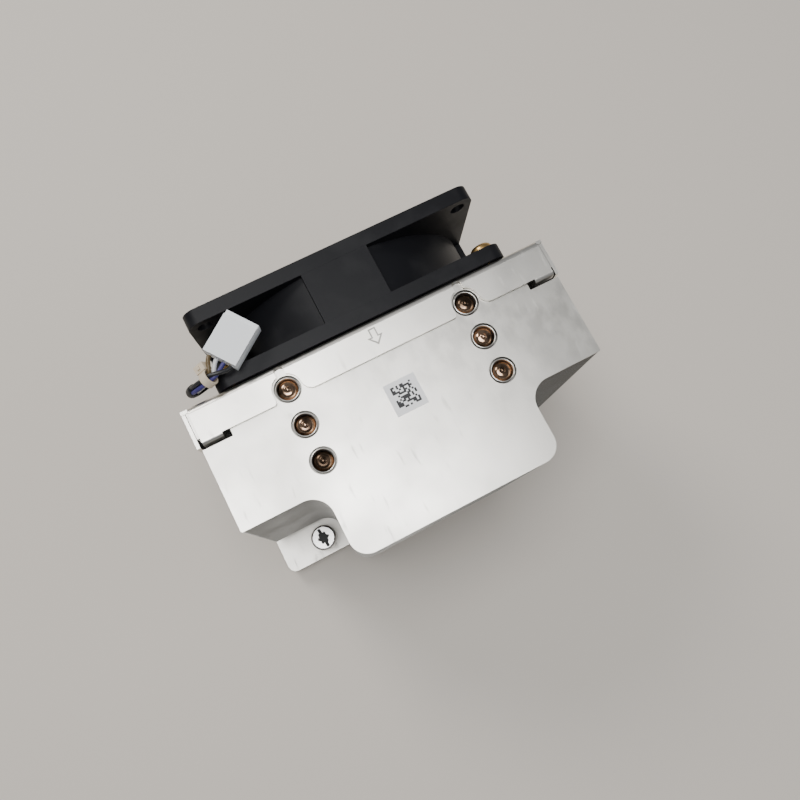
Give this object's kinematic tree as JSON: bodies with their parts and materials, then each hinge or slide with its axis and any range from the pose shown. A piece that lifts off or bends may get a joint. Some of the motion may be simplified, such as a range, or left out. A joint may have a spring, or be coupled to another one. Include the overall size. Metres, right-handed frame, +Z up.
{
  "type": "processor heatsink with fan",
  "caption": "Tower heatsink for a processor: plated fins on U-shaped copper heat pipes, a base with sprung captive screws, and a square fan on a sheet bracket.",
  "frame": {"origin": "middle of the face that touches the processor", "axes": "+X along the wide side, +Y towards the fan, +Z up through the fins"},
  "size_m": [0.1154, 0.1005, 0.107],
  "materials": {
    "nickel_plate": "satin nickel plate",
    "aluminium": "satin",
    "copper": "bare copper",
    "copper_wire": "enamelled wire",
    "steel": "plated",
    "brass": "yellow plated",
    "black_plastic": "moulded",
    "white_nylon": "moulded",
    "ivory_nylon": "moulded",
    "sticker": "paper label, bare",
    "board": "coated board",
    "magnet": "bonded ferrite",
    "black_rubber": "matt"
  },
  "bodies": {
    "heatsink": {"contact_plate": "copper", "base_plate": "nickel_plate", "pipe_saddle": "aluminium", "heat_pipe_front": "copper", "heat_pipe_middle": "copper", "heat_pipe_rear": "copper", "fin_01": "nickel_plate", "fin_02": "nickel_plate", "fin_03": "nickel_plate", "fin_04": "nickel_plate", "fin_05": "nickel_plate", "fin_06": "nickel_plate", "fin_07": "nickel_plate", "fin_08": "nickel_plate", "fin_09": "nickel_plate", "fin_10": "nickel_plate", "fin_11": "nickel_plate", "fin_12": "nickel_plate", "fin_13": "nickel_plate", "fin_14": "nickel_plate", "fin_15": "nickel_plate", "fin_16": "nickel_plate", "fin_17": "nickel_plate", "fin_18": "nickel_plate", "fin_19": "nickel_plate", "fin_20": "nickel_plate", "top_fin": "nickel_plate", "fan_bracket": "nickel_plate", "fan_frame": "black_plastic", "stator_core": "steel", "winding_front": "copper_wire", "winding_rear": "copper_wire", "motor_board": "board", "bearing_front": "steel", "bearing_rear": "steel", "fan_screw_1": "brass", "fan_screw_2": "brass", "fan_screw_3": "brass", "fan_screw_4": "brass", "screw_spring_1": "steel", "screw_spring_2": "steel", "screw_spring_3": "steel", "screw_spring_4": "steel", "lead_grommet": "black_rubber", "fan_lead": "black_rubber", "connector_housing": "white_nylon", "cable_tie": "ivory_nylon", "sticker": "sticker"},
    "rotor": {"fan_impeller": "black_plastic", "rotor_yoke": "steel", "magnet_ring": "magnet", "fan_shaft": "steel"},
    "clip_1": {"screw_clip_1": "steel"},
    "screw_1": {"captive_screw_1": "steel"},
    "clip_2": {"screw_clip_2": "steel"},
    "screw_2": {"captive_screw_2": "steel"},
    "clip_3": {"screw_clip_3": "steel"},
    "screw_3": {"captive_screw_3": "steel"},
    "clip_4": {"screw_clip_4": "steel"},
    "screw_4": {"captive_screw_4": "steel"}
  },
  "joints": [
    {"name": "rotor_spin", "type": "hinge", "parent": "heatsink", "child": "rotor", "pos_m": [0, 0.01675, 0.0552], "axis": [0, 1, 0], "continuous": true},
    {"name": "press_1", "type": "slide", "parent": "heatsink", "child": "clip_1", "axis": [0, 0, 1], "range_m": [-0.0045, 0], "stiffness_N_per_m": 2500, "springref_m": 0.003, "deforming": ["screw_spring_1"]},
    {"name": "turn_1", "type": "hinge", "parent": "clip_1", "child": "screw_1", "pos_m": [-0.04, -0.04, 0.01], "axis": [0, 0, 1], "continuous": true},
    {"name": "press_2", "type": "slide", "parent": "heatsink", "child": "clip_2", "axis": [0, 0, 1], "range_m": [-0.0045, 0], "stiffness_N_per_m": 2500, "springref_m": 0.003, "deforming": ["screw_spring_2"]},
    {"name": "turn_2", "type": "hinge", "parent": "clip_2", "child": "screw_2", "pos_m": [0.04, -0.04, 0.01], "axis": [0, 0, 1], "continuous": true},
    {"name": "press_3", "type": "slide", "parent": "heatsink", "child": "clip_3", "axis": [0, 0, 1], "range_m": [-0.0045, 0], "stiffness_N_per_m": 2500, "springref_m": 0.003, "deforming": ["screw_spring_3"]},
    {"name": "turn_3", "type": "hinge", "parent": "clip_3", "child": "screw_3", "pos_m": [-0.04, 0.04, 0.01], "axis": [0, 0, 1], "continuous": true},
    {"name": "press_4", "type": "slide", "parent": "heatsink", "child": "clip_4", "axis": [0, 0, 1], "range_m": [-0.0045, 0], "stiffness_N_per_m": 2500, "springref_m": 0.003, "deforming": ["screw_spring_4"]},
    {"name": "turn_4", "type": "hinge", "parent": "clip_4", "child": "screw_4", "pos_m": [0.04, 0.04, 0.01], "axis": [0, 0, 1], "continuous": true}
  ]
}
